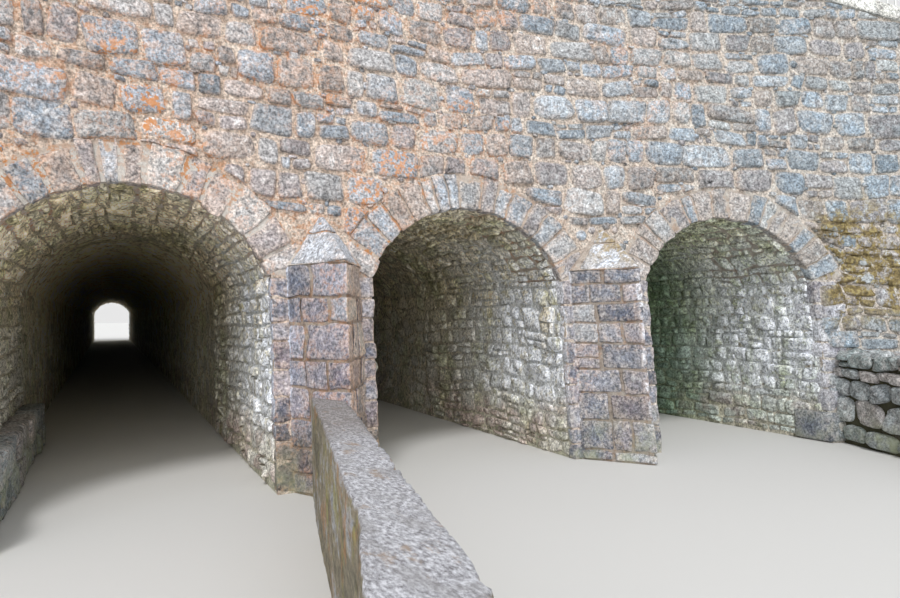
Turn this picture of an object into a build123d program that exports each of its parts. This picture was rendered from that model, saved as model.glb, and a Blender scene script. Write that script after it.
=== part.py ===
from build123d import *
import math
import os

# Masonry canal aqueduct at half size, in millimetres.
# X runs along the canal, Y along the tunnels, Z up from the stream bed.
# The front face looks towards -Y. The origin is the centre of the base.

# Tunnels
tunnel_length = 33600
arch_pitch = 2131
track_span = 1520
middle_span = 1450
right_span = 1415
springing_height = 1270
crown_height = 1770
ring_depth = 225
abutment_thickness = 600
crown_cover = 105

# Curved and battered face walls
face_radius = 9740
face_batter = 0.11
wall_base_thickness = 780
wall_top_height = 3750
wing_slope = 0.30
slope_start = 2840
wing_reach = 5500

# Copings on the face walls
coping_thickness = 120
coping_overhang = 25

# Cutwaters and their caps
cutwater_height = 1335
track_cutwater_half_width = 235
track_cutwater_reach = 470
stream_cutwater_half_width = 275
stream_cutwater_reach = 390
cap_rise = 330
cap_overhang = 14

# Canal over the middle of the tunnels
canal_width = 3600
canal_depth = 750
canal_wall_thickness = 400
canal_lining = 150
canal_coping_width = 440
canal_coping_thickness = 120
canal_coping_overhang = 40
bank_drop = 40
side_wall_thickness = 450

# Railings on the copings
rail_bays = 10
rail_setback = 110
rail_end_margin = 160
post_size = 90
post_height = 540
rail_height = 35
rail_width = 45
lower_rail_gap = 70
upper_rail_gap = 450

# Wall between the track and the stream, in front of the track pier
divider_width = 184
divider_end_width = 265
divider_top_height = 560
divider_coping_thickness = 45
divider_length = 3740
divider_flare_length = 980
divider_angle = 11.8
divider_start_x = -977

# Low wall that trains the stream on its right side
training_wall_height = 670
training_wall_thickness = 320
training_wall_length = 1500
training_wall_angle = 18
training_wall_gap = 90

# Kerb along the left jamb of the track tunnel
kerb_width = 130
kerb_height = 330
kerb_length = 3000
kerb_front_reach = 260

# Derived levels and places
half_length = tunnel_length / 2
face_axis_y = -half_length - face_radius
backing_height = crown_height + ring_depth + crown_cover
bed_height = wall_top_height - canal_depth
left_side = -arch_pitch - track_span / 2 - abutment_thickness
right_side = arch_pitch + right_span / 2 + abutment_thickness
barrel_half_length = half_length - wall_base_thickness
wing_back_radius = face_radius + wall_base_thickness
clear = 500
arches = {
    "left": (-arch_pitch, track_span),
    "middle": (0, middle_span),
    "right": (arch_pitch, right_span),
}


def box(x0, x1, y0, y1, z0, z1):
    block = Box(x1 - x0, y1 - y0, z1 - z0, align=(Align.MIN, Align.MIN, Align.MIN))
    return Pos(x0, y0, z0) * block


def prism_along_y(profile, y0, y1):
    # The profile is drawn with X across and Y up, then stood up and swept from y0 to y1.
    return extrude(Plane.XZ.offset(-y0) * profile, amount=-(y1 - y0))


def face_y(x, z, outset=0):
    radius = face_radius + face_batter * z - outset
    return face_axis_y + math.sqrt(radius**2 - x**2)


def space_in_front(outset=0):
    # Everything on the viewer's side of the curved, battered front face.
    low = clear
    height = wall_top_height + 2 * clear
    base_radius = face_radius - face_batter * low - outset
    cone = Cone(
        base_radius,
        base_radius + face_batter * (height + low),
        height + low,
        align=(Align.CENTER, Align.CENTER, Align.MIN),
    )
    return Pos(0, face_axis_y, -low) * cone


def disc_behind_face(radius):
    cylinder = Cylinder(
        radius,
        wall_top_height + 2 * clear,
        align=(Align.CENTER, Align.CENTER, Align.MIN),
    )
    return Pos(0, face_axis_y, 0) * cylinder


def rear(shape):
    return mirror(shape, about=Plane.XZ)


def top_line(rise):
    # Outline below the wall top: level over the arches, falling along both wings.
    end_height = wall_top_height - wing_slope * (wing_reach + clear - slope_start)
    return Polygon(
        (-wing_reach - clear, -clear),
        (wing_reach + clear, -clear),
        (wing_reach + clear, end_height + rise),
        (slope_start, wall_top_height + rise),
        (-slope_start, wall_top_height + rise),
        (-wing_reach - clear, end_height + rise),
        align=None,
    )


def top_height(x):
    return wall_top_height - wing_slope * max(0, abs(x) - slope_start)


def arch_radius(span):
    rise = crown_height - springing_height
    return ((span / 2) ** 2 + rise**2) / (2 * rise)


def disc(centre_x, span, depth):
    radius = arch_radius(span)
    return Pos(centre_x, crown_height - radius) * Circle(radius + depth)


def above_springing():
    width = right_side - left_side + 2 * clear
    height = wall_top_height - springing_height
    centre = ((left_side + right_side) / 2, springing_height + height / 2)
    return Pos(*centre) * Rectangle(width, height)


def ring_profile(centre_x, span):
    ring = disc(centre_x, span, ring_depth) - disc(centre_x, span, 0)
    return ring & above_springing()


# Masonry below the springing, one straight wall from face to face
def long_wall(x0, x1):
    end = half_length + clear + face_radius - math.sqrt(face_radius**2 - wing_reach**2)
    wall = box(x0, x1, -end, end, 0, springing_height)
    front = space_in_front()
    return wall - front - rear(front)


def jamb(name, side):
    centre_x, span = arches[name]
    return centre_x + side * span / 2


def long_walls():
    return {
        "left_abutment": long_wall(left_side, jamb("left", -1)),
        "track_pier": long_wall(jamb("left", 1), jamb("middle", -1)),
        "stream_pier": long_wall(jamb("middle", 1), jamb("right", -1)),
        "right_abutment": long_wall(jamb("right", 1), right_side),
    }


# Vaults, their backing and the rings of arch stones in the two faces
def vaults():
    made = {}
    for name, (centre_x, span) in arches.items():
        profile = ring_profile(centre_x, span)
        made[name + "_vault"] = prism_along_y(profile, -barrel_half_length, barrel_half_length)
    return made


def vault_backing():
    width = right_side - left_side
    height = backing_height - springing_height
    centre = ((left_side + right_side) / 2, springing_height + height / 2)
    profile = Pos(*centre) * Rectangle(width, height)
    for centre_x, span in arches.values():
        profile -= disc(centre_x, span, ring_depth)
    return prism_along_y(profile, -barrel_half_length, barrel_half_length)


def face_prism(profile):
    depth = face_radius - math.sqrt(face_radius**2 - right_side**2) + clear
    solid = prism_along_y(profile, -half_length - depth, -barrel_half_length)
    return solid - space_in_front()


def arch_ring(centre_x, span):
    return face_prism(ring_profile(centre_x, span))


def spandrel_wall():
    width = right_side - left_side
    height = wall_top_height - springing_height
    centre = ((left_side + right_side) / 2, springing_height + height / 2)
    profile = Pos(*centre) * Rectangle(width, height)
    for centre_x, span in arches.values():
        profile -= disc(centre_x, span, ring_depth)
    profile &= top_line(0)
    return face_prism(profile)


# Wing walls, with the battered front of the face and an upright curved back
def wing_wall(x0, x1):
    forward = face_axis_y + math.sqrt(face_radius**2 - wing_reach**2) - clear
    ring = disc_behind_face(wing_back_radius) - space_in_front()
    reach = box(x0, x1, forward, -barrel_half_length, 0, wall_top_height)
    under_top = prism_along_y(top_line(0), forward, -barrel_half_length)
    return ring & reach & under_top


# Copings follow the wall top and stand a little proud of the face
def coping_run(x0, x1):
    forward = face_axis_y + math.sqrt(face_radius**2 - wing_reach**2) - clear
    band = disc_behind_face(wing_back_radius) - space_in_front(coping_overhang)
    strip = top_line(coping_thickness) - top_line(0)
    course = prism_along_y(strip, forward, -barrel_half_length)
    reach = box(x0, x1, forward, -barrel_half_length, 0, wall_top_height + clear)
    return band & course & reach


# Cutwaters, a wedge in front of each pier that leans with the face
def pier_middle(left_name, right_name):
    return (jamb(left_name, 1) + jamb(right_name, -1)) / 2


def cutwater_plan(middle_x, half_width, reach, height, outset=0):
    half = half_width + outset
    nose_y = face_y(middle_x, height) - reach - outset
    corner_y = face_y(middle_x, height) - outset
    back_y = corner_y + clear
    return Polygon(
        (middle_x - half, back_y),
        (middle_x - half, corner_y),
        (middle_x, nose_y),
        (middle_x + half, corner_y),
        (middle_x + half, back_y),
        align=None,
    )


def cutwater(middle_x, half_width, reach):
    slant = Vector(0, face_batter, 1)
    length = cutwater_height * slant.length
    plan = cutwater_plan(middle_x, half_width, reach, 0)
    return extrude(plan, amount=length, dir=slant.normalized()) & space_in_front()


def cutwater_cap(middle_x, half_width, reach):
    plan = cutwater_plan(middle_x, half_width, reach, cutwater_height, cap_overhang)
    base = Pos(0, 0, cutwater_height) * plan
    apex_height = cutwater_height + cap_rise
    apex = Vertex(middle_x, face_y(middle_x, apex_height), apex_height)
    return loft([base, apex]) & space_in_front()


# Canal trough across the top, and the banks on either side of it
def canal():
    inner = canal_width / 2
    outer = inner + canal_wall_thickness
    lining_base = bed_height - canal_lining
    edge = inner - canal_coping_overhang
    made = {
        "canal_foundation": box(left_side, right_side, -inner, inner, backing_height, lining_base),
        "canal_bed": box(left_side, right_side, -inner, inner, lining_base, bed_height),
        "front_canal_wall": box(
            left_side, right_side, -outer, -inner, backing_height, wall_top_height
        ),
    }
    made["rear_canal_wall"] = rear(made["front_canal_wall"])
    coping = box(
        left_side,
        right_side,
        -edge - canal_coping_width,
        -edge,
        wall_top_height,
        wall_top_height + canal_coping_thickness,
    )
    made["canal_copings"] = Compound([coping, rear(coping)])
    return made


def banks():
    outer = canal_width / 2 + canal_wall_thickness
    inner_left = left_side + side_wall_thickness
    inner_right = right_side - side_wall_thickness
    bank_top = wall_top_height - bank_drop
    front_y = (-barrel_half_length, -outer)
    bank = box(inner_left, inner_right, *front_y, backing_height, bank_top)
    left = box(left_side, inner_left, *front_y, backing_height, wall_top_height)
    right = box(inner_right, right_side, *front_y, backing_height, wall_top_height)
    left &= prism_along_y(top_line(0), *front_y)
    right &= prism_along_y(top_line(0), *front_y)
    return {
        "front_bank": bank,
        "rear_bank": rear(bank),
        "left_side_wall": Compound([left, rear(left)]),
        "right_side_wall": Compound([right, rear(right)]),
    }


# Railing: posts on the coping, straight rails from post to post
def rail_points():
    radius = wing_back_radius - rail_setback
    end_angle = math.asin((wing_reach - rail_end_margin) / radius)
    points = []
    for i in range(rail_bays + 1):
        angle = -end_angle + 2 * end_angle * i / rail_bays
        x = radius * math.sin(angle)
        y = face_axis_y + radius * math.cos(angle)
        points.append(Vector(x, y, top_height(x) + coping_thickness))
    return points


def upright(point, width, low, high, turn):
    block = Box(width, width, high - low, align=(Align.CENTER, Align.CENTER, Align.MIN))
    return Pos(point.X, point.Y, point.Z + low) * Rot(0, 0, turn) * block


def rail(start, end, gap):
    run = math.hypot(end.X - start.X, end.Y - start.Y)
    turn = math.degrees(math.atan2(end.Y - start.Y, end.X - start.X))
    side = Polygon(
        (0, gap),
        (run, gap + end.Z - start.Z),
        (run, gap + end.Z - start.Z + rail_height),
        (0, gap + rail_height),
        align=None,
    )
    bar = extrude(Plane.XZ * side, amount=rail_width / 2, both=True)
    return Pos(start.X, start.Y, start.Z) * Rot(0, 0, turn) * bar


def railing():
    points = rail_points()
    pieces = []
    for i, point in enumerate(points):
        turn = -math.degrees(math.atan2(point.X, point.Y - face_axis_y))
        pieces.append(upright(point, post_size, -wing_slope * post_size, post_height, turn))
    for start, end in zip(points, points[1:]):
        pieces.append(rail(start, end, lower_rail_gap))
        pieces.append(rail(start, end, upper_rail_gap))
    fence = pieces[0].fuse(*pieces[1:])
    under = prism_along_y(
        top_line(coping_thickness),
        face_axis_y + wing_back_radius / 2,
        -barrel_half_length + clear,
    )
    return fence - under


def track_cutwater():
    return pier_middle("left", "middle"), track_cutwater_half_width, track_cutwater_reach


def stream_cutwater():
    return pier_middle("middle", "right"), stream_cutwater_half_width, stream_cutwater_reach


# Wall between the track and the stream, butted against the cutwater
def divider(low, high):
    start = Pos(divider_start_x, face_y(divider_start_x, 0), low) * Rot(0, 0, -divider_angle)
    plan = Polygon(
        (0, clear),
        (-divider_width, clear),
        (-divider_width, divider_flare_length - divider_length),
        (-divider_end_width, -divider_length),
        (0, -divider_length),
        align=None,
    )
    slab = start * extrude(plan, amount=high - low)
    return (slab & space_in_front()) - cutwater(*track_cutwater())


# Low rough wall along the right bank, starting at the right jamb
def training_wall():
    start_x = jamb("right", 1) + training_wall_gap
    start = Pos(start_x, face_y(start_x, 0), 0) * Rot(0, 0, -training_wall_angle)
    plan = Rectangle(
        training_wall_thickness, training_wall_length + clear, align=(Align.MIN, Align.MAX)
    )
    slab = start * Pos(0, clear, 0) * extrude(plan, amount=training_wall_height)
    return slab & space_in_front()


def track_kerb():
    x0 = jamb("left", -1)
    y0 = face_y(x0, 0)
    return box(x0, x0 + kerb_width, y0 - kerb_front_reach, y0 + kerb_length, 0, kerb_height)


def build():
    nodes = {}
    nodes.update(long_walls())
    nodes.update(vaults())
    nodes["vault_backing"] = vault_backing()
    for name, (centre_x, span) in arches.items():
        nodes["front_" + name + "_arch_ring"] = arch_ring(centre_x, span)
    nodes["front_spandrel_wall"] = spandrel_wall()
    nodes["front_left_wing_wall"] = wing_wall(-wing_reach, left_side)
    nodes["front_right_wing_wall"] = wing_wall(right_side, wing_reach)
    nodes["front_level_coping"] = coping_run(-slope_start, slope_start)
    left_slope = coping_run(-wing_reach, -slope_start)
    right_slope = coping_run(slope_start, wing_reach)
    nodes["front_sloping_copings"] = Compound([left_slope, right_slope])
    nodes["front_track_cutwater"] = cutwater(*track_cutwater())
    nodes["front_stream_cutwater"] = cutwater(*stream_cutwater())
    caps = [cutwater_cap(*track_cutwater()), cutwater_cap(*stream_cutwater())]
    nodes["front_cutwater_caps"] = Compound(caps)
    nodes["front_railing"] = railing()
    for name in [key for key in nodes if key.startswith("front_")]:
        nodes[name.replace("front_", "rear_")] = rear(nodes[name])
    nodes.update(canal())
    nodes.update(banks())
    body_top = divider_top_height - divider_coping_thickness
    nodes["divider_wall"] = divider(0, body_top)
    nodes["divider_coping"] = divider(body_top, divider_top_height)
    nodes["training_wall"] = training_wall()
    nodes["track_kerb"] = track_kerb()
    return nodes


def centred(nodes):
    # Moves every piece so that the origin is the centre of the base of the whole.
    whole = Compound(list(nodes.values())).bounding_box()
    middle = (whole.min + whole.max) / 2
    return {name: Pos(-middle.X, -middle.Y, -whole.min.Z) * piece for name, piece in nodes.items()}


os.makedirs("parts", exist_ok=True)
for node, shape in centred(build()).items():
    export_step(shape, "parts/" + node + ".step")
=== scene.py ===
import math

import bpy
import numpy as np
from mathutils import Matrix, Vector
from mathutils.kdtree import KDTree


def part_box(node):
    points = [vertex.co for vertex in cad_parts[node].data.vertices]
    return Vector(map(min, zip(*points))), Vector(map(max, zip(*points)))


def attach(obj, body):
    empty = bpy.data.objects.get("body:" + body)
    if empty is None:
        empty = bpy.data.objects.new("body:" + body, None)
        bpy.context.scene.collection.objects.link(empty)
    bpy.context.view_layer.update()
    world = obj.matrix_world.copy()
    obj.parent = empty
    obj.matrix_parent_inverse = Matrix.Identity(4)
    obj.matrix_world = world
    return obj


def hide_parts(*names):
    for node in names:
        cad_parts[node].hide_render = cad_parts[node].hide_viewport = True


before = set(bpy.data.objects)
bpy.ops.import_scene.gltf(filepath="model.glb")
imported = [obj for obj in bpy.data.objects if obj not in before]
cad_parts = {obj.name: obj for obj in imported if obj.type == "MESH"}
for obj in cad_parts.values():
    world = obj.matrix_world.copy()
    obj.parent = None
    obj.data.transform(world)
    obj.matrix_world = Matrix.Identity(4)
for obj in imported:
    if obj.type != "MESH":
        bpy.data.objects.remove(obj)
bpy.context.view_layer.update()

# Metres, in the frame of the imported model. The front face looks towards -Y.
FACE_RADIUS = 9.74
BATTER = 0.11
WALL_THICKNESS = 0.78
WALL_TOP = 3.75
WING_SLOPE = 0.30
SLOPE_START = 2.84
WING_REACH = 5.5
HALF_LENGTH = 16.8
SPRINGING = 1.27
CROWN = 1.77
RING_DEPTH = 0.225
ARCHES = {"left": (-2.131, 1.52), "middle": (0.0, 1.45), "right": (2.131, 1.415)}
LEFT_SIDE = -3.491
RIGHT_SIDE = 3.4385

COPING_THICKNESS = 0.12
COPING_OVERHANG = 0.025
CUTWATER_HEIGHT = 1.335
CAP_RISE = 0.33
CAP_OVERHANG = 0.014
# Middle of the pier, half width, reach of the nose, and the heights of the courses downwards
CUTWATERS = {
    "track": (-1.048, 0.235, 0.47, (0.197, 0.148, 0.218, 0.164, 0.18, 0.16, 0.15, 0.118)),
    "stream": (1.07425, 0.275, 0.39, (0.102, 0.136, 0.137, 0.15, 0.18, 0.167, 0.183, 0.205, 0.075)),
}
RAIL_BAYS = 10
RAIL_SETBACK = 0.11
RAIL_END_MARGIN = 0.16
POST_SIZE = 0.09
LOWER_RAIL_TOP = 0.105
UPPER_RAIL_FOOT = 0.45
BAR_SIZE = 0.014
BAR_SPACING = 0.072
DIVIDER_TOP = 0.56
DIVIDER_WIDTH = 0.184
DIVIDER_END_WIDTH = 0.265
DIVIDER_LENGTH = 3.74
DIVIDER_FLARE = 0.98
DIVIDER_ANGLE = 11.8
DIVIDER_START_X = -0.977
TRAINING_WALL_SIZE = (1.5, 0.32, 0.67)
TRAINING_WALL_ANGLE = 18
CANAL_COPING_WIDTH = 0.44
CANAL_FOOT = 2.84
CANAL_HALF_WIDTH = 1.88
SIDE_TOP = 3.67
SIDE_REACH = 16.6
# How far the modelled stones go into the tunnels
FRONT_DEPTH = 2.6
REAR_DEPTH = 1.2

barrel_lo, barrel_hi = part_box("middle_vault")
MIDDLE_Y = (barrel_lo.y + barrel_hi.y) / 2
AXIS_Y = MIDDLE_Y - HALF_LENGTH - FACE_RADIUS
BOX_LOW = np.array([-WING_REACH + 0.001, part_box("divider_wall")[0].y + 0.002, 0.0])
BOX_HIGH = np.array([WING_REACH - 0.001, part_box("rear_left_wing_wall")[1].y - 0.001, 4.41])


# Numbers that look random but come out the same each run
def lattice(i, j, k, seed):
    n = (i * 374761393 + j * 668265263 + k * 1442695041 + seed * 974711) & 0xFFFFFFFF
    n = ((n ^ (n >> 13)) * 1274126177) & 0xFFFFFFFF
    return ((n ^ (n >> 16)) & 0xFFFF) / 32767.5 - 1


def noise(points, size, seed):
    """Smooth noise from -1 to 1 at points of 2 or 3 coordinates, with bumps about one size wide."""
    p = np.asarray(points, dtype=float) / size
    if p.shape[-1] == 2:
        p = np.concatenate([p, np.zeros(p.shape[:-1] + (1,))], axis=-1)
    cell = np.floor(p).astype(np.int64)
    f = p - cell
    f = f * f * (3 - 2 * f)
    total = np.zeros(p.shape[:-1])
    for a in (0, 1):
        for b in (0, 1):
            for c in (0, 1):
                weight = (f[..., 0] if a else 1 - f[..., 0]) * (f[..., 1] if b else 1 - f[..., 1])
                weight = weight * (f[..., 2] if c else 1 - f[..., 2])
                corner = lattice(cell[..., 0] + a, cell[..., 1] + b, cell[..., 2] + c, seed)
                total += weight * corner
    return total


# Meshes from arrays
def make_piece(name, verts, faces, material, tones=None, smooth=True):
    """faces is a list of arrays, each of quads or of triangles."""
    mesh = bpy.data.meshes.new(name)
    verts = np.asarray(verts, dtype=np.float32).reshape(-1, 3)
    mesh.vertices.add(len(verts))
    mesh.vertices.foreach_set("co", verts.ravel())
    loops = np.concatenate([f.ravel() for f in faces])
    sizes = np.concatenate([np.full(len(f), f.shape[1]) for f in faces])
    mesh.loops.add(len(loops))
    mesh.loops.foreach_set("vertex_index", loops.astype(np.int32))
    mesh.polygons.add(len(sizes))
    starts = np.concatenate([[0], np.cumsum(sizes)[:-1]]).astype(np.int32)
    mesh.polygons.foreach_set("loop_start", starts)
    mesh.update(calc_edges=True)
    mesh.polygons.foreach_set("use_smooth", np.full(len(sizes), smooth))
    if tones is not None:
        layer = mesh.color_attributes.new("stone", "FLOAT_COLOR", "POINT")
        layer.data.foreach_set("color", np.asarray(tones, dtype=np.float32).ravel())
    mesh.materials.append(material)
    piece = bpy.data.objects.new(name, mesh)
    bpy.context.scene.collection.objects.link(piece)
    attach(piece, "root")
    return piece


# Places on the curved, battered faces
def end_name(side):
    return "front" if side < 0 else "rear"


def mirrored(y, side):
    """The same place at the rear, for side 1."""
    return 2 * MIDDLE_Y - y if side > 0 else y


def face_point(x, z, out, side):
    """A point of the front (side -1) or rear (side 1) face, pushed out of the wall by out."""
    x = np.clip(x, -WING_REACH + 0.002, WING_REACH - 0.002)
    radius = FACE_RADIUS + BATTER * z - out
    y = mirrored(AXIS_Y + np.sqrt(radius**2 - x**2), side)
    return np.stack(np.broadcast_arrays(x, y, z), axis=-1)


def wall_top(x):
    return WALL_TOP - WING_SLOPE * np.maximum(0, np.abs(x) - SLOPE_START)


def arch_radius(span):
    rise = CROWN - SPRINGING
    return ((span / 2) ** 2 + rise**2) / (2 * rise)


# Rough courses of rubble
def rubble_cells(u0, u1, v0, v1, rng, heights, widths, thin_share=0.2, tall_share=0.07):
    """Rectangles (u0, u1, v0, v1) in courses, some cut in two and some two courses tall."""
    cells = []
    taken = []
    v = v0
    while v < v1 - 0.02:
        height = rng.uniform(*heights) * rng.choice((0.72, 0.9, 1.0, 1.0, 1.2))
        top = min(v + height, v1)
        next_taken = []
        blocked = sorted(taken) + [(u1, u1 + 1)]
        u = u0 - rng.uniform(0, widths[0])
        for gap_end, resume in blocked:
            while u < gap_end - 0.03:
                width = rng.uniform(*widths) * rng.choice((0.6, 0.9, 1.0, 1.25))
                width *= 0.55 + 0.4 * min(1.6, height / heights[0])
                end = u + width
                if gap_end - end < 0.06:
                    end = gap_end
                if height > 0.09 and rng.random() < thin_share:
                    split = v + (top - v) * rng.choice((0.36, 0.42, 0.58, 0.64))
                    middle = u + (end - u) * rng.uniform(0.35, 0.65)
                    if split - v < top - split:
                        cells += [(u, middle, v, split), (middle, end, v, split)]
                        cells.append((u, end, split, top))
                    else:
                        cells += [(u, end, v, split), (u, middle, split, top)]
                        cells.append((middle, end, split, top))
                elif height < 0.13 and top < v1 - 0.12 and rng.random() < tall_share:
                    rise = rng.uniform(0.05, 0.09)
                    cells.append((u, end, v, top + rise))
                    next_taken.append((u, end, rise))
                else:
                    cells.append((u, end, v, top))
                u = end
            u = max(u, resume)
        v = top
        # the next course is kept thin enough to finish level with the tall stones
        taken = [(a, b) for a, b, rise in next_taken]
        if next_taken:
            rise = next_taken[0][2]
            cells = [
                (a, b, c, top + rise) if c < top < d and abs(d - top) < 0.095 else (a, b, c, d)
                for a, b, c, d in cells
            ]
            cells += fill_course(u0, u1, top, top + rise, taken, rng, widths)
            v = top + rise
            taken = []
    return np.array(cells)


def fill_course(u0, u1, low, high, taken, rng, widths):
    cells = []
    u = u0
    for gap_end, resume in sorted(taken) + [(u1, u1 + 1)]:
        while u < gap_end - 0.03:
            end = u + rng.uniform(*widths) * rng.choice((0.5, 0.8, 1.0))
            if gap_end - end < 0.07:
                end = gap_end
            cells.append((u, end, low, high))
            u = end
        u = max(u, resume)
    return cells


def stone_outlines(cells, rng, seed, corners, joint, squareness, jitter=0.014, pulled=0.17):
    """Rounded outlines (stones, corners, 2) of the cells, less half a joint all round."""
    wave = 0.035
    count = len(cells)
    gap = rng.uniform(*joint, count) / 2
    u0, u1, v0, v1 = cells.T
    quad = np.stack(
        [
            np.stack([u0 + gap, v0 + gap], -1),
            np.stack([u1 - gap, v0 + gap], -1),
            np.stack([u1 - gap, v1 - gap], -1),
            np.stack([u0 + gap, v1 - gap], -1),
        ],
        axis=1,
    )
    shift = np.stack([noise(quad, 0.11, seed), noise(quad, 0.11, seed + 1)], -1) * jitter
    shift[..., 0] += noise(quad, 0.45, seed + 2) * wave * 0.6
    shift[..., 1] += noise(quad, 1.3, seed + 3) * wave + noise(quad, 0.4, seed + 4) * wave * 0.55
    quad = quad + shift
    middle = quad.mean(axis=1, keepdims=True)
    lean = rng.normal(0, 0.06, (count, 1))
    from_middle = quad - middle
    quad = quad + np.stack([-from_middle[..., 1], from_middle[..., 0]], -1) * lean[..., None]
    quad = quad + (middle - quad) * rng.uniform(-0.06, pulled, (count, 4, 2))
    power = 2 / rng.uniform(*squareness, (count, 1))
    turn = (np.arange(corners) + 0.5) / corners * 2 * math.pi
    across = np.sign(np.cos(turn)) * np.abs(np.cos(turn)) ** power
    up = np.sign(np.sin(turn)) * np.abs(np.sin(turn)) ** power
    wobble = 1 + 0.08 * noise(
        np.stack(np.broadcast_arrays(across * 1.7, up * 1.7, np.arange(count)[:, None] * 7.7), -1),
        1.0,
        seed + 5,
    )
    across, up = across * wobble, up * wobble
    signs = ((-1, -1), (1, -1), (1, 1), (-1, 1))
    weights = np.stack([(1 + a * across) * (1 + b * up) for a, b in signs], axis=-1) / 4
    return np.einsum("nkc,ncd->nkd", weights, quad)


def chip_cells(cells, rng, share=0.45):
    """Small stones where the corners of the large ones meet."""
    at = cells[rng.random(len(cells)) < share]
    u, v = at[:, 0], at[:, 3]
    half = rng.uniform((0.016, 0.011), (0.036, 0.024), (len(at), 2))
    u = u + rng.uniform(-0.02, 0.02, len(at))
    return np.stack([u - half[:, 0], u + half[:, 0], v - half[:, 1], v + half[:, 1]], -1)


def outline_area(outlines):
    x, y = outlines[..., 0], outlines[..., 1]
    return 0.5 * np.abs(np.sum(x * np.roll(y, -1, 1) - y * np.roll(x, -1, 1), axis=1))


def drop_slivers(outlines, smallest=0.0003, thinnest=0.014):
    size = np.ptp(outlines, axis=1).min(axis=1)
    area = outline_area(outlines)
    fill = area / np.maximum(np.prod(np.ptp(outlines, axis=1), axis=1), 1e-6)
    return outlines[(area > smallest) & (size > thinnest) & (fill > 0.45)]


def stones(name, outlines, place, relief, rng, seed, material, stain=None, bands=3, crag=1.0):
    """One mesh of domed stones. place(u, v, out) puts a point on the surface that they face."""
    count, corners = outlines.shape[:2]
    centre = outlines.mean(axis=1, keepdims=True)
    spokes = centre - outlines
    reach = np.linalg.norm(spokes, axis=-1, keepdims=True)
    height = rng.uniform(*relief, (count, 1)) * np.clip(reach.mean(axis=1) / 0.055, 0.45, 1.0)
    steps = [(0 * reach, -0.4), (np.minimum(0.006 / reach, 0.3), 0.62), (0.24, 0.94), (0.62, 1.0)]
    steps = steps[: bands + 1]
    flat = np.concatenate([outlines + spokes * share for share, _ in steps] + [centre], axis=1)
    level = np.concatenate(
        [np.full(corners, rise) for _, rise in steps] + [np.ones(1)]
    )[None, :]
    tilt = rng.uniform(-0.07, 0.07, (count, 1, 2))
    rough = crag * (noise(flat, 0.07, seed + 20) * 0.45 + noise(flat, 0.03, seed + 21) * 0.30)
    out = height * (level + rough * (level > 0))
    out = out + np.sum((flat - centre) * tilt, axis=-1) * (level > 0)
    out = np.where(level < 0, -0.004, np.maximum(out, -0.0005))
    verts = np.clip(place(flat[..., 0], flat[..., 1], out), BOX_LOW, BOX_HIGH).reshape(-1, 3)
    per = corners * len(steps) + 1
    ring = np.arange(corners)
    after = np.roll(ring, -1)
    quads = []
    for band in range(len(steps) - 1):
        low, high = band * corners, (band + 1) * corners
        quads.append(np.stack([low + ring, low + after, high + after, high + ring], -1))
    last = (len(steps) - 1) * corners
    fan = np.stack([last + ring, last + after, np.full(corners, per - 1)], -1)
    base = np.arange(count)[:, None, None] * per
    quads = (base + np.concatenate(quads)[None]).reshape(-1, 4)
    fans = (base + fan[None]).reshape(-1, 3)
    rim = place(outlines[..., 0], outlines[..., 1], np.zeros((count, corners)))
    facing = np.cross(rim, np.roll(rim, -1, axis=1)).sum(axis=1)
    u, v = centre[:, 0, 0], centre[:, 0, 1]
    outward = place(u, v, np.full(count, 0.01)) - place(u, v, np.zeros(count))
    if np.sum(facing * outward) < 0:
        quads, fans = quads[:, ::-1], fans[:, ::-1]
    tones = np.empty((count, per, 4))
    tones[..., :2] = rng.random((count, 1, 2))
    tones[..., 2] = rng.random((count, 1)) if stain is None else stain(flat[..., 0], flat[..., 1])
    tones[..., 3] = np.concatenate(
        [np.full(corners, min(1, i / 2)) for i in range(len(steps))] + [np.ones(1)]
    )
    return make_piece(name, verts, [quads, fans], material, tones.reshape(-1, 4))


# Rounded blocks from eight corners, bottom four then top four, each anticlockwise from above
def block_template(cuts, soften):
    inner = np.linspace(-1 + soften, 1 - soften, cuts)[1:-1]
    ticks = np.concatenate([[-1, -1 + soften], inner, [1 - soften, 1]])
    n = len(ticks)
    index = {}
    points = []
    quads = []

    def corner(i, j, k):
        if (i, j, k) not in index:
            index[i, j, k] = len(points)
            points.append((ticks[i], ticks[j], ticks[k]))
        return index[i, j, k]

    for a in range(n - 1):
        for b in range(n - 1):
            for at, flip in ((0, True), (n - 1, False)):
                ring = [(a, b), (a + 1, b), (a + 1, b + 1), (a, b + 1)]
                if flip:
                    ring.reverse()
                quads.append([corner(i, j, at) for i, j in ring])
                quads.append([corner(at, i, j) for i, j in ring])
                quads.append([corner(j, at, i) for i, j in ring])
    points = np.array(points)
    on_side = np.abs(points) > 0.999
    shared = on_side.sum(axis=1, keepdims=True)
    pull = np.where(shared == 2, 0.30, np.where(shared == 3, 0.45, 0.0)) * soften
    return points * (1 - pull * on_side), np.array(quads)


def box_corners(x0, x1, y0, y1, z0, z1):
    return [(x, y, z) for z in (z0, z1) for x, y in ((x0, y0), (x1, y0), (x1, y1), (x0, y1))]


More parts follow.
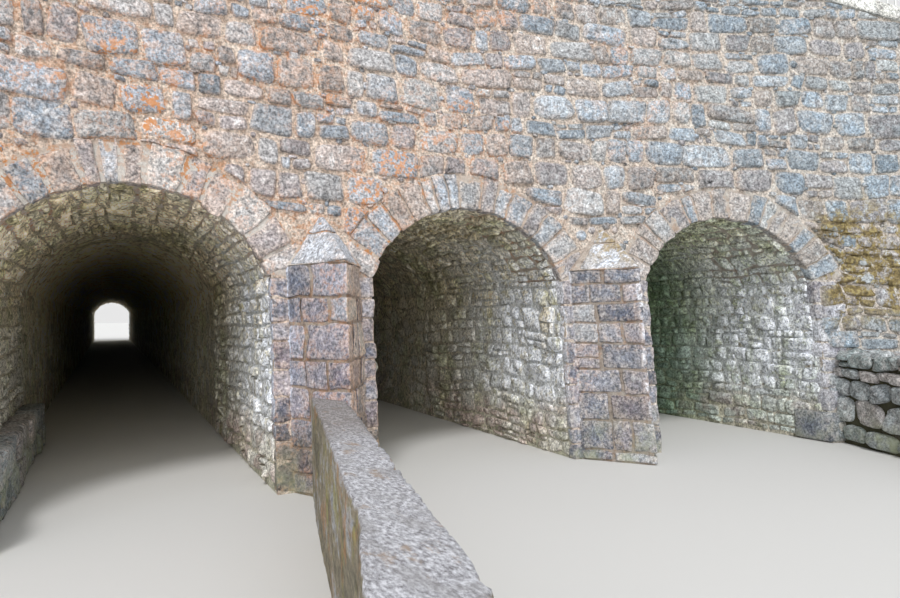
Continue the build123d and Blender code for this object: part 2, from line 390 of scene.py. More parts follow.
def blocks(name, corners, rng, seed, material, cuts=4, soften=0.14, rough=0.006):
    corners = np.array(corners, dtype=float)
    along = corners[:, 1] - corners[:, 0]
    inward = corners[:, 3] - corners[:, 0]
    upward = corners[:, 4] - corners[:, 0]
    clockwise = np.sum(np.cross(along, inward) * upward, axis=1) < 0
    corners[clockwise] = corners[clockwise][:, [3, 2, 1, 0, 7, 6, 5, 4]]
    shape, quads = block_template(cuts, soften)
    weights = np.ones((len(shape), 8))
    for c, sign in enumerate(box_corners(-1, 1, -1, 1, -1, 1)):
        weights[:, c] = np.prod((1 + shape * sign) / 2, axis=1)
    verts = np.einsum("pc,ncd->npd", weights, corners)
    coarse = [noise(verts, 0.09, seed + i) for i in range(3)]
    fine = [noise(verts, 0.035, seed + 3 + i) for i in range(3)]
    offset = np.stack(coarse, -1) + 0.5 * np.stack(fine, -1)
    verts = np.clip(verts + offset * rough, BOX_LOW, BOX_HIGH)
    count = len(corners)
    faces = (np.arange(count)[:, None, None] * len(shape) + quads[None]).reshape(-1, 4)
    tones = np.empty((count, len(shape), 4))
    tones[..., :2] = rng.random((count, 1, 2))
    tones[..., 2] = rng.random((count, 1))
    edge = (np.abs(shape) > 1 - soften * 1.01).sum(axis=1)
    tones[..., 3] = np.where(edge >= 2, 0.35, 1.0)
    return make_piece(name, verts.reshape(-1, 3), [faces], material, tones.reshape(-1, 4))


# Procedural materials
class Finish:
    """A material with short calls for the nodes that build its colour, roughness and relief."""

    def __init__(self, name):
        self.material = bpy.data.materials.new(name)
        self.material.use_nodes = True
        self.tree = self.material.node_tree
        self.shader = self.tree.nodes["Principled BSDF"]
        self.place = self.node("TexCoord").outputs["Object"]
        split = self.node("SeparateXYZ", {"Vector": self.place})
        self.x, self.y, self.z = split.outputs

    def node(self, kind, inputs=None, **settings):
        made = self.tree.nodes.new("ShaderNode" + kind)
        for key, value in settings.items():
            setattr(made, key, value)
        for key, value in (inputs or {}).items():
            if isinstance(value, bpy.types.NodeSocket):
                self.tree.links.new(value, made.inputs[key])
            else:
                made.inputs[key].default_value = value
        return made

    def noise(self, scale, detail=4.0, rough=0.55, at=None):
        inputs = {"Vector": at or self.place, "Scale": scale, "Detail": detail, "Roughness": rough}
        return self.node("TexNoise", inputs).outputs["Fac"]

    def stretched(self, x, y, z):
        return self.node("VectorMath", {0: self.place, 1: (x, y, z)}, operation="MULTIPLY").outputs[0]

    def math(self, operation, *values):
        return self.node("Math", dict(enumerate(values)), operation=operation).outputs[0]

    def times(self, product, *factors):
        for factor in factors:
            product = self.math("MULTIPLY", product, factor)
        return product

    def hypotenuse(self, a, b):
        return self.math("SQRT", self.math("ADD", self.times(a, a), self.times(b, b)))

    def layers(self, coarse, fine, share):
        """Coarse and fine bumps, the coarse ones with the share given."""
        return self.math("MULTIPLY_ADD", coarse, share, self.times(fine, 1 - share))

    def marks(self):
        """What make_piece stores with the stones: three tones, and how far a point is from the edge."""
        marks = self.node("Attribute", attribute_name="stone", attribute_type="GEOMETRY")
        tones = self.node("SeparateColor", {"Color": marks.outputs["Color"]}).outputs
        return (*tones, marks.outputs["Alpha"])

    def facing(self):
        """1 where the surface looks to the right, -1 where it looks to the left."""
        normal = self.node("NewGeometry").outputs["Normal"]
        return self.node("SeparateXYZ", {"Vector": normal}).outputs[0]

    def span(self, value, low, high, to_low=0.0, to_high=1.0):
        inputs = {"Value": value, "From Min": low, "From Max": high}
        inputs |= {"To Min": to_low, "To Max": to_high}
        return self.node("MapRange", inputs, interpolation_type="SMOOTHSTEP").outputs["Result"]

    def mix(self, share, a, b, blend="MIX"):
        made = self.node("Mix", data_type="RGBA", blend_type=blend, clamp_factor=True)
        for socket, value in ((made.inputs[0], share), (made.inputs[6], a), (made.inputs[7], b)):
            if isinstance(value, bpy.types.NodeSocket):
                self.tree.links.new(value, socket)
            else:
                socket.default_value = value if socket == made.inputs[0] else (*value, 1.0)
        return made.outputs[2]

    def ramp(self, value, stops, steps=False):
        made = self.node("ValToRGB", {"Fac": value})
        elements = made.color_ramp.elements
        while len(elements) < len(stops):
            elements.new(0.5)
        for element, (at, colour) in zip(elements, stops):
            element.position = at
            element.color = (*colour, 1.0)
        if steps:
            made.color_ramp.interpolation = "CONSTANT"
        return made.outputs["Color"]

    def finish(self, colour, rough=0.9, relief=None, strength=0.5, depth=0.01):
        for key, value in (("Base Color", colour), ("Roughness", rough)):
            if isinstance(value, bpy.types.NodeSocket):
                self.tree.links.new(value, self.shader.inputs[key])
            else:
                self.shader.inputs[key].default_value = (*value, 1.0) if key == "Base Color" else value
        self.shader.inputs["Specular IOR Level"].default_value = 0.25
        if relief is not None:
            bump = self.node("Bump", {"Height": relief, "Strength": strength, "Distance": depth})
            self.tree.links.new(bump.outputs["Normal"], self.shader.inputs["Normal"])
        return self.material


BUFF_MORTAR = (0.61, 0.48, 0.39)
PALE_LIME = (0.80, 0.77, 0.72)
ORANGE_LICHEN = (0.66, 0.26, 0.07)
GREEN_ALGAE = (0.38, 0.41, 0.27)
PALE_CRUST = (0.70, 0.69, 0.69)
WHITE_LIME = (0.74, 0.76, 0.82)
# dark specks of painted shade, for the shadows in pits
PAINTED_PIT_SHADE = (0.19, 0.18, 0.18)
DARK_MOSS = [(0.38, (0.09, 0.07, 0.03)), (0.5, (0.23, 0.17, 0.07)), (0.62, (0.44, 0.36, 0.15))]
BROWN_MOSS = [(0.36, (0.20, 0.13, 0.05)), (0.62, (0.52, 0.38, 0.16))]
GREY_TO_PINK = [(0.0, (0.40, 0.43, 0.46)), (0.5, (0.50, 0.46, 0.45)), (1.0, (0.48, 0.39, 0.35))]
FACE_STONES = [
    (0.0, (0.40, 0.44, 0.50)),
    (0.20, (0.48, 0.50, 0.54)),
    (0.36, (0.33, 0.375, 0.43)),
    (0.47, (0.51, 0.49, 0.49)),
    (0.60, (0.50, 0.42, 0.39)),
    (0.74, (0.45, 0.37, 0.33)),
    (0.87, (0.41, 0.36, 0.36)),
    (0.95, (0.55, 0.53, 0.52)),
]
SIDE_STONES = [(at, tuple(0.92 * c for c in colour)) for at, colour in FACE_STONES]


def shaded(f, colour, shade, spread, darkest):
    """Some stones lighter than others."""
    level = f.math("MULTIPLY_ADD", shade, spread, darkest)
    grey = f.node("CombineColor", {0: level, 1: level, 2: level}).outputs[0]
    return f.mix(1.0, colour, grey, "MULTIPLY")


def grained(f, colour, scale, low, high):
    """Fine light and dark grain over a colour."""
    grain = f.ramp(f.noise(scale, 5.0, 0.75), [(0.38, (low, low, low)), (0.62, (high, high, high))])
    return f.mix(1.0, colour, grain, "MULTIPLY")


def behind_face(f):
    """Distance behind the nearer curved, battered face."""
    from_middle = f.math("ABSOLUTE", f.math("SUBTRACT", f.y, MIDDLE_Y))
    inner = f.math("SUBTRACT", HALF_LENGTH + FACE_RADIUS, from_middle)
    radius = f.hypotenuse(f.x, inner)
    return f.math("SUBTRACT", radius, f.math("MULTIPLY_ADD", f.z, BATTER, FACE_RADIUS))


def weathered(f, colour, centre, lichen, moss, foot):
    """Lichen, moss and the damp at the foot, over stone or mortar."""
    if lichen:
        leftward = f.span(f.x, 3.4, -1.8, 0.10, 1.0)
        patch = f.times(f.span(f.noise(1.7, 3.0, 0.6), 0.36, 0.60), leftward)
        bits = f.span(f.noise(24.0, 7.0, 0.74), 0.505, 0.545)
        colour = f.mix(f.times(patch, bits, centre, lichen), colour, ORANGE_LICHEN)
    if moss:
        # one bank beside the right tunnel, at the front
        across = f.times(f.span(f.x, 2.82, 2.98), f.span(f.x, 4.6, 3.9))
        height = f.math("MULTIPLY_ADD", f.noise(3.0, 4.0), 0.5, f.z)
        upright = f.times(f.span(height, 1.0, 1.4), f.span(height, 2.35, 1.85))
        front = f.times(f.span(f.y, -12.0, -13.0), f.span(behind_face(f), 0.12, 0.05))
        shown = f.times(across, upright, front)
        tufts = f.span(f.noise(6.5, 9.0, 0.76), 0.455, 0.525)
        growth = f.ramp(f.noise(28.0, 6.0, 0.7), DARK_MOSS)
        colour = f.mix(f.times(shown, tufts, 0.95 * moss), colour, growth)
    if foot:
        damp = f.times(f.span(f.z, 0.42, 0.02), f.span(f.noise(6.0, 5.0, 0.65), 0.40, 0.60))
        damp = f.times(damp, f.span(f.x, 2.84, 2.76, 0.35, 1.0))
        colour = f.mix(f.times(damp, foot), colour, GREEN_ALGAE)
    return colour


def rightward(f, most):
    """Grows from 0 at the left of the arches to most at the right."""
    return f.span(f.x, -2.4, 3.6, 0.0, most)


def mortar_colour(f):
    """Buff mortar, greyer towards the right."""
    shadow = tuple(0.55 * c for c in BUFF_MORTAR)
    stops = [(0.34, shadow), (0.47, BUFF_MORTAR), (0.64, (0.76, 0.66, 0.57))]
    colour = f.ramp(f.noise(16.0, 8.0, 0.78), stops)
    return f.mix(rightward(f, 0.75), colour, (0.78, 0.92, 1.02), "MULTIPLY")


def stone_finish(
    name,
    palette,
    lichen=1.0,
    moss=0.0,
    foot=0.5,
    crust=0.6,
    smeared=1.0,
    clouds=0.6,
    cooler=1.0,
    lime=0.0,
    tufts=0.0,
):
    """Stone in the tones of the palette. The other arguments say how strong each kind of wear is; lime
    also turns on the painted light and shade of the track cutwater.
    """
    f = Finish(name)
    tone, shade, _, centre = f.marks()
    colour = f.ramp(tone, palette, steps=True)
    # clouds of another tone within a stone, from the grey to the pink
    spread = f.span(f.noise(13.0, 6.0, 0.62), 0.44, 0.60, 0.0, clouds)
    colour = f.mix(spread, colour, f.ramp(shade, GREY_TO_PINK))
    # pale crusts, and dark specks of painted shade for the shadows in pits
    cloud = f.noise(24.0, 7.0, 0.70)
    colour = f.mix(f.span(cloud, 0.51, 0.62, 0.0, crust), colour, PALE_CRUST)
    colour = f.mix(f.span(cloud, 0.49, 0.37, 0.0, 0.70), colour, PAINTED_PIT_SHADE)
    colour = shaded(f, colour, shade, 0.42, 0.82)
    if cooler:
        colour = f.mix(rightward(f, cooler), colour, (0.76, 0.845, 0.875), "MULTIPLY")
    # mortar rubbed over the edges
    smear = f.times(f.math("SUBTRACT", 1.0, centre), f.span(f.noise(30.0, 4.0, 0.6), 0.36, 0.58))
    colour = f.mix(f.times(smear, smeared), colour, mortar_colour(f))
    if lime:
        # washed over the jambs that look to the left, and down the nose of the stream cutwater
        facing = f.facing()
        runs = f.span(f.noise(6.0, 7.0, 0.7, at=f.stretched(1.0, 1.0, 0.35)), 0.36, 0.54)
        washed = f.times(f.span(facing, -0.3, -0.9), runs)
        washed = f.times(washed, f.span(behind_face(f), -0.030, -0.012))
        jamb = f.times(f.span(f.x, 2.80, 2.86), f.times(runs, 0.6))
        nose_x = CUTWATERS["stream"][0]
        off_nose = f.math("ABSOLUTE", f.math("SUBTRACT", f.x, nose_x))
        nose = f.times(f.span(off_nose, 0.022, 0.010), f.span(f.noise(14.0, 5.0), 0.38, 0.55))
        washed = f.math("MAXIMUM", f.math("MAXIMUM", washed, jamb), nose)
        washed = f.times(washed, f.span(f.z, 0.15, 0.55, 0.1, lime))
        colour = f.mix(washed, colour, WHITE_LIME)
        # the track cutwater: painted shade on the faces that look to the left (darker and greyer),
        # painted light on those that look to the right (lighter and warmer), and brown at the foot
        track_side = f.span(f.x, 0.1, -0.1)
        for shown, tint in (
            (f.span(facing, -0.1, -0.5), (0.84, 0.89, 0.97)),
            (f.span(facing, 0.2, 0.6), (1.16, 1.04, 0.88)),
            (f.span(f.z, 0.50, 0.22), (0.60, 0.54, 0.48)),
        ):
            colour = f.mix(f.times(shown, track_side), colour, tint, "MULTIPLY")
    colour = grained(f, colour, 60.0, 0.50, 1.46)
    colour = grained(f, colour, 15.0, 0.84, 1.15)
    overgrown = f.math("MULTIPLY_ADD", centre, f.span(shade, 0.72, 0.84, -0.72, -0.10), 1.0)
    colour = weathered(f, colour, overgrown, lichen, moss, foot)
    if tufts:
        # brown moss over the cap of the stream cutwater
        shown = f.times(f.span(f.x, 0.85, 1.15, 0.5, 1.0), f.span(f.z, 1.34, 1.50, 0.45, 1.0))
        shown = f.times(shown, f.span(f.noise(8.0, 6.0, 0.7), 0.42, 0.52))
        shown = f.times(shown, f.span(f.x, 0.5, 0.6), f.span(f.y, -12.0, -13.0))
        colour = f.mix(f.times(shown, tufts), colour, f.ramp(f.noise(40.0, 5.0, 0.7), BROWN_MOSS))
    relief = f.layers(f.noise(20.0, 7.0, 0.68), f.noise(75.0, 3.0, 0.6), 0.75)
    return f.finish(colour, 0.92, relief, 0.9, 0.018)


def mortar_finish(name, lichen=1.0, moss=0.0, foot=0.4, level=1.0):
    f = Finish(name)
    colour = mortar_colour(f)
    # the left arch is pointed with lime
    middle, span = ARCHES["left"]
    radius = arch_radius(span)
    dx = f.math("SUBTRACT", f.x, middle)
    dz = f.math("SUBTRACT", f.z, CROWN - radius)
    distance = f.hypotenuse(dx, dz)
    outer = radius + RING_DEPTH
    in_ring = f.times(f.span(distance, outer - 0.01, outer - 0.05), f.span(f.z, 1.2, 1.35))
    colour = f.mix(f.times(in_ring, 0.75), colour, PALE_LIME)
    colour = grained(f, colour, 70.0, 0.85 * level, 1.13 * level)
    colour = weathered(f, colour, 0.85, lichen, moss, foot)
    return f.finish(colour, 0.95, f.noise(26.0, 8.0, 0.76), 1.0, 0.022)


face_stone = stone_finish("face_stone", FACE_STONES, moss=1.0, smeared=0.78)
mortar = mortar_finish("buff_mortar", moss=1.0)
pier_mortar = mortar_finish("pier_mortar", lichen=0.45, level=0.72)


# Rubble of the two curved faces
def keep_off_openings(outlines, joint=0.012):
    """Moves outline points that lie in a ring or an opening to its edge."""
    moved = outlines.copy()
    x, z = moved[..., 0], moved[..., 1]
    for middle, span in ARCHES.values():
        radius = arch_radius(span)
        centre_z = CROWN - radius
        reach = radius + RING_DEPTH + joint
        dx, dz = x - middle, z - centre_z
        distance = np.hypot(dx, dz)
        in_ring = (distance < reach) & (z > SPRINGING)
        grow = np.where(in_ring, reach / np.maximum(distance, 1e-6), 1)
        x[:] = middle + dx * grow
        z[:] = centre_z + dz * grow
        edge = span / 2 + joint
        in_jamb = (np.abs(x - middle) < edge) & (z <= SPRINGING)
        x[in_jamb] = middle + np.sign(x[in_jamb] - middle) * edge
    z[:] = np.clip(z, 0.004, wall_top(x) - 0.008)
    return moved


def taken(x, z, margin):
    """Whether a point of the face is in an opening, a ring, a cutwater or a cap, or too near one."""
    found = (z > wall_top(x) - margin) | (z < margin) | (np.abs(x) > WING_REACH - margin)
    for middle, span in ARCHES.values():
        radius = arch_radius(span)
        found |= np.hypot(x - middle, z - (CROWN - radius)) < radius + RING_DEPTH * 1.08 + margin
        found |= (np.abs(x - middle) < span / 2 + 0.13 + margin) & (z < SPRINGING + margin)
    for pier, half, _, _ in CUTWATERS.values():
        share = np.clip((CUTWATER_HEIGHT + CAP_RISE + margin - z) / CAP_RISE, 0, 1)
        found |= np.abs(x - pier) < (half + margin) * share
    return found


def covered(outlines, x, z):
    """Whether the point lies inside one of the outlines."""
    edge = outlines - (x, z)
    turn = np.arctan2(edge[..., 1], edge[..., 0])
    step = (np.diff(turn, axis=1, append=turn[:, :1]) + math.pi) % (2 * math.pi) - math.pi
    return np.any(np.abs(step.sum(axis=1)) > 3)


def clear_of_openings(outlines):
    """The outlines on the curved face, less those in the openings, the rings and the cutwaters."""
    radius = FACE_RADIUS + BATTER * outlines[..., 1]
    outlines[..., 0] = radius * np.sin(outlines[..., 0] / FACE_RADIUS)
    middle = outlines.mean(axis=1)
    hidden = np.zeros(len(middle), dtype=bool)
    for span_middle, span in ARCHES.values():
        r = arch_radius(span) + RING_DEPTH * 0.6
        above = middle[:, 1] - (CROWN - arch_radius(span))
        hidden |= (np.hypot(middle[:, 0] - span_middle, above) < r) & (middle[:, 1] > SPRINGING)
        hidden |= (np.abs(middle[:, 0] - span_middle) < span / 2 + 0.01) & (middle[:, 1] <= SPRINGING)
    for pier, _, _, _ in CUTWATERS.values():
        hidden |= (np.abs(middle[:, 0] - pier) < 0.36) & (middle[:, 1] < SPRINGING)
        reach = 0.3 * (1 - (middle[:, 1] - CUTWATER_HEIGHT) / CAP_RISE)
        hidden |= (np.abs(middle[:, 0] - pier) < reach) & (middle[:, 1] < CUTWATER_HEIGHT + CAP_RISE)
    return drop_slivers(keep_off_openings(outlines[~hidden]))


def filling_stones(outlines, corners, rng, tries=9000):
    """Small rounded stones for the places that the courses leave bare."""
    rims = np.concatenate([found.reshape(-1, 2) for found in outlines])
    tree = KDTree(len(rims))
    for i, (x, z) in enumerate(rims):
        tree.insert((x, z, 0), i)
    tree.balance()
    found = []
    for x, z in rng.uniform((-WING_REACH, 0), (WING_REACH, WALL_TOP), (tries, 2)):
        room = tree.find((x, z, 0))[2]
        if room < 0.026 or any(math.hypot(x - a, z - b) < r + 0.026 for a, b, r in found):
            continue
        size = min([room, 0.06] + [math.hypot(x - a, z - b) - r for a, b, r in found]) - 0.005
        if taken(np.array(x), np.array(z), size):
            continue
        if not any(covered(around, x, z) for around in outlines):
            found.append((x, z, size))
    turn = np.arange(corners) / corners * 2 * math.pi
    centre = np.array(found)
    wobble = 1 + rng.uniform(-0.16, 0.10, (len(found), corners))
    reach = centre[:, 2:] * wobble
    flat = rng.uniform(0.7, 1.0, (len(found), 1))
    x = centre[:, :1] + reach * np.cos(turn)
    return np.stack([x, centre[:, 1:2] + reach * flat * np.sin(turn)], -1)


def face_rubble(side, corners, bands, seed):
    rng = np.random.default_rng(seed)
    arc = FACE_RADIUS * math.asin(WING_REACH / FACE_RADIUS)
    cells = rubble_cells(-arc, arc, 0.0, WALL_TOP, rng, (0.115, 0.185), (0.15, 0.30), 0.16, 0.06)
    large = clear_of_openings(stone_outlines(cells, rng, seed, corners, (0.003, 0.012), (3.0, 8.0)))
    chips = chip_cells(cells, rng)
    chips = stone_outlines(chips, rng, seed, 10, (0.001, 0.003), (2.2, 4.0), pulled=0.1)
    chips = clear_of_openings(chips)
    small = np.concatenate([chips, filling_stones((large, chips), 10, rng)])
    for suffix, outlines, detail in (("", large, bands), ("_small", small, 2)):
        where = outlines.mean(axis=1)[:, 0]
        thirds = (("left", where < -1.9), ("middle", np.abs(where) <= 1.9), ("right", where > 1.9))
        for third, chosen in thirds:
            stones(
                end_name(side) + "_face_stones_" + third + suffix,
                outlines[chosen],
                lambda x, z, out: face_point(x, z, out, side),
                (0.014, 0.032),
                rng,
                seed + 40,
                face_stone,
                bands=detail,
                crag=1.5,
            )


face_rubble(-1, 20, 3, 11)
face_rubble(1, 13, 2, 12)


# Arch stones
ring_stone = stone_finish("ring_stone", FACE_STONES, lichen=0.5, clouds=0.40, smeared=0.7)


def arch_stones(side, seed):
    rng = np.random.default_rng(seed)
    corners = []
    for name, (middle, span) in ARCHES.items():
        radius = arch_radius(span)
        centre_z = CROWN - radius
        half_angle = math.asin(span / 2 / radius)
        width = 0.155 if name == "left" else 0.132
        widest_joint, joint = (0.016, 0.010) if name == "left" else (0.010, 0.006)
        count = round(2 * half_angle * (radius + RING_DEPTH / 2) / width)
        shares = rng.uniform(0.65, 1.35, count)
        ends = np.concatenate([[0], np.cumsum(shares) / shares.sum()]) * 2 * half_angle - half_angle
        for low, high in zip(ends, ends[1:]):
            half_joint = rng.uniform(joint, widest_joint) / radius
            low, high = low + half_joint, high - half_joint
            inner = radius - rng.uniform(0.002, 0.014)
            outer = radius + RING_DEPTH * rng.uniform(0.86, 1.08)
            front = rng.uniform(0.006, 0.016)
            back = -rng.uniform(0.06, 0.11)
            slant = rng.uniform(-0.012, 0.012, 4)
            quad = []
            for out in (front, back):
                for angle, r in ((low, inner), (high, inner), (high, outer), (low, outer)):
                    angle = angle + slant[len(quad) % 4] * (r - radius)
                    x = middle + r * math.sin(angle)
                    z = centre_z + r * math.cos(angle)
                    quad.append(face_point(x, z, out, side))
            corners.append(quad if side < 0 else quad[4:] + quad[:4])
    name = end_name(side) + "_arch_stones"
    return blocks(name, corners, rng, seed, ring_stone, cuts=5, soften=0.12, rough=0.012)


arch_stones(-1, 31)
arch_stones(1, 32)


# Rubble inside the tunnels, near the mouths
TUNNEL_STONES = [
    (0.0, (0.72, 0.63, 0.44)),
    (0.2, (0.80, 0.72, 0.52)),
    (0.4, (0.84, 0.74, 0.56)),
    (0.6, (0.70, 0.67, 0.52)),
    (0.8, (0.88, 0.80, 0.64)),
]
TUNNEL_MORTAR = (0.78, 0.70, 0.54)


def tunnel_point(name, depth, along, out, side):
    """along runs up the left wall, over the arch and down the right wall."""
    middle, span = ARCHES[name]
    radius = arch_radius(span)
    half_angle = math.asin(span / 2 / radius)
    arc = 2 * half_angle * radius
    angle = np.clip((along - SPRINGING) / radius, 0, 2 * half_angle) - half_angle
    on_left = along < SPRINGING
    on_right = along > SPRINGING + arc
    x = middle + (radius - out) * np.sin(angle)
    z = CROWN - radius + (radius - out) * np.cos(angle)
    x = np.where(on_left, middle - span / 2 + out, np.where(on_right, middle + span / 2 - out, x))
    z = np.where(on_left, along, np.where(on_right, 2 * SPRINGING + arc - along, z))
    y = face_point(x, z, 0, side)[..., 1] - side * depth
    return np.stack([x, y, np.maximum(z, 0.002)], axis=-1)


def tunnel_perimeter(span):
    radius = arch_radius(span)
    return 2 * SPRINGING + 2 * math.asin(span / 2 / radius) * radius


def tunnel_rubble(side, depth, corners, material, seed):
    for i, (name, (_, span)) in enumerate(ARCHES.items()):
        rng = np.random.default_rng(seed + i)
        round_the_arch = tunnel_perimeter(span)
        cells = rubble_cells(
            0.05, depth, 0.0, round_the_arch, rng, (0.085, 0.15), (0.12, 0.27), 0.25, 0.05
        )
        outlines = stone_outlines(cells, rng, seed + i, corners, (0.002, 0.009), (3.0, 9.0), pulled=0.2)
        outlines[..., 1] = np.clip(outlines[..., 1], 0.004, round_the_arch - 0.004)
        outlines[..., 0] = np.maximum(outlines[..., 0], 0.06)
        outlines = drop_slivers(outlines)

        def bloom(d, along):
            # lime runs down the right-hand wall near the mouth
            right_wall = np.clip((along - round_the_arch + 1.95) / 0.8, 0, 1)
            return right_wall * np.clip(1.6 - d / 1.3, 0, 1)

        stones(
            end_name(side) + "_" + name + "_tunnel_stones",
            outlines,
            lambda d, along, out: tunnel_point(name, d, along, out, side),
            (0.009, 0.028),
            rng,
            seed + 40 + i,
            material,
            stain=bloom,
            bands=2,
            crag=2.0,
        )


# Blocks at the corners of the tunnels, under the rings
def corner_blocks(side, seed):
    rng = np.random.default_rng(seed)
    corners = []
    for name, (middle, span) in ARCHES.items():
        for hand in (-1, 1):
            on_pier = not (name == "left" and hand < 0) and not (name == "right" and hand > 0)
            z = 0.0
            long_one = rng.random() < 0.5
            while z < SPRINGING - 0.03:
                height = rng.uniform(0.10, 0.19)
                at_base = side < 0 and name == "right" and hand > 0 and z == 0
                if at_base:
                    height = 0.24
                if SPRINGING - z - height < 0.08:
                    height = SPRINGING - z
                if on_pier:
                    width, depth = rng.uniform(0.09, 0.12), rng.uniform(0.06, 0.09)
                else:
                    width = rng.uniform(0.13, 0.17) + 0.1 * long_one
                    depth = rng.uniform(0.07, 0.12) + 0.15 * long_one
                proud = rng.uniform(0.004, 0.010)
                inward = rng.uniform(0.003, 0.010)
                if at_base:
                    # one large stone, which stands out of the wall of the tunnel
                    depth, proud, inward = 0.33, 0.020, 0.040
                edge = middle + hand * (span / 2 - inward)
                far = middle + hand * (span / 2 + width)
                quad = []
                for level in (z + 0.006, z + height - 0.006):
                    near_edge = face_point(edge, level, proud, side)
                    near_far = face_point(far, level, proud, side)
                    back = near_edge[1] - side * depth
                    quad += [near_edge, near_far, (far, back, level), (edge, back, level)]
                corners.append(quad)
                z += height
                long_one = not long_one
    name = end_name(side) + "_corner_stones"
    return blocks(name, corners, rng, seed, pier_stone, soften=0.16, rough=0.009)


# Squared blocks of the cutwaters and the stones of their caps
def wedge_plan(middle, half, reach, z, side, out=0.0):
    """Left corner, nose and right corner of a cutwater at height z, moved outwards by out."""
    face = face_point(middle, 0.0, 0.0, side)[1] - side * BATTER * z
    slope = math.hypot(half, reach)
    nose = face + side * (reach + out * slope / half)
    shift = np.array([out * reach / slope, side * out * half / slope])
    left = np.array([middle - half, face]) + shift * (-1, 1)
    right = np.array([middle + half, face]) + shift
    return left, np.array([middle, nose]), right


def cutwater_blocks(side, seed):
    rng = np.random.default_rng(seed)
    corners = []
    for middle, half, reach, courses in CUTWATERS.values():
        top = CUTWATER_HEIGHT
        long_left = True
        for height in courses:
            low, high = max(top - height, 0.0) + 0.008, top - 0.007
            left_share = rng.uniform(0.50, 0.68) if long_left else rng.uniform(0.26, 0.40)
            right_share = rng.uniform(0.30, 0.45) if long_left else rng.uniform(0.55, 0.75)
            out = rng.uniform(0.008, 0.013)
            quad = []
            for z in (low, high):
                left, nose, right = wedge_plan(middle, half, reach, z, side, out)
                a = nose + (left - nose) * left_share
                b = nose + (right - nose) * right_share
                inner = np.array([middle, (a[1] + b[1]) / 2 - side * 0.06])
                quad += [(*p, z) for p in (a, nose, b, inner)]
            corners.append(quad)
            for hand, share in ((0, left_share), (2, right_share)):
                cuts = [share, 1.04]
                if 1 - share > 0.66:
                    cuts.insert(1, rng.uniform(share + 0.25, 0.82))
                for start, end in zip(cuts, cuts[1:]):
                    levels = [(low, high)]
                    if height > 0.14 and end - start < 0.4 and rng.random() < 0.25:
                        cut = low + (high - low) * rng.uniform(0.4, 0.6)
                        levels = [(low, cut - 0.005), (cut + 0.005, high)]
                    for bottom, crest in levels:
                        out = rng.uniform(0.007, 0.012)
                        quad = []
                        for z in (bottom, crest):
                            plan = wedge_plan(middle, half, reach, z, side, out)
                            gap = 0.013 / np.linalg.norm(plan[hand] - plan[1])
                            p = plan[1] + (plan[hand] - plan[1]) * (start + gap)
                            q = plan[1] + (plan[hand] - plan[1]) * end
                            inward = np.array([0.0, -side * 0.12])
                            quad += [(*v, z) for v in (p, q, q + inward, p + inward)]
                        corners.append(quad)
            top -= height
            long_left = not long_left
    name = end_name(side) + "_cutwater_stones"
    return blocks(name, corners, rng, seed, pier_stone, soften=0.14, rough=0.010)


def cap_stones(side, seed):
    rng = np.random.default_rng(seed)
    corners = []
    for middle, half, reach, _ in CUTWATERS.values():
        plan = wedge_plan(middle, half, reach, CUTWATER_HEIGHT, side, CAP_OVERHANG + 0.006)
        apex_z = CUTWATER_HEIGHT + CAP_RISE
        apex = face_point(middle, apex_z, 0.012, side)
        foot = [np.array([*p, CUTWATER_HEIGHT + 0.004]) for p in plan]
        foot[0] = foot[0] + (foot[1] - foot[0]) * 0.12
        foot[2] = foot[2] + (foot[1] - foot[2]) * 0.12
        foot.append(face_point(middle, CUTWATER_HEIGHT, -0.12, side))
        for low, high in ((0.0, 0.58), (0.61, 0.93)):
            corners.append([p + (apex - p) * share for share in (low, high) for p in foot])
    name = end_name(side) + "_cap_stones"
    return blocks(name, corners, rng, seed, cap_stone, cuts=6, soften=0.12, rough=0.010)


# Dressed coping stones
def coping_stones(side, seed):
    rng = np.random.default_rng(seed)
    back_radius = FACE_RADIUS + WALL_THICKNESS
    corners = []
    x = -WING_REACH
    while x < WING_REACH - 0.01:
        end = x + rng.uniform(0.30, 0.46)
        for bend in (-SLOPE_START, SLOPE_START, WING_REACH):
            if x < bend - 0.01 and end > bend - 0.2:
                end = bend
                break
        quad = []
        for up in (0.004, COPING_THICKNESS + rng.uniform(0.001, 0.005)):
            for px, back in ((x + 0.003, 0), (end - 0.003, 0), (end - 0.003, 1), (x + 0.003, 1)):
                z = wall_top(px) + up
                front = face_point(px, z, COPING_OVERHANG + 0.005, side)
                y = mirrored(AXIS_Y + math.sqrt(back_radius**2 - px**2) + 0.004, side)
                quad.append((px, y if back else front[1], z))
        corners.append(quad)
        x = end
    name = end_name(side) + "_coping_stones"
    return blocks(name, corners, rng, seed, coping_stone, soften=0.07, rough=0.003)


def canal_coping_stones(seed):
    rng = np.random.default_rng(seed)
    low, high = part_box("canal_copings")
    corners = []
    for y0, y1 in ((low.y, low.y + CANAL_COPING_WIDTH), (high.y - CANAL_COPING_WIDTH, high.y)):
        x = low.x
        while x < high.x - 0.01:
            end = x + rng.uniform(0.38, 0.60)
            if high.x - end < 0.3:
                end = high.x
            top = high.z + rng.uniform(0.002, 0.007)
            corners.append(box_corners(x, end - 0.006, y0 - 0.004, y1 + 0.004, low.z + 0.002, top))
            x = end
    name = "canal_coping_stones"
    return blocks(name, corners, rng, seed, coping_stone, soften=0.06, rough=0.003)


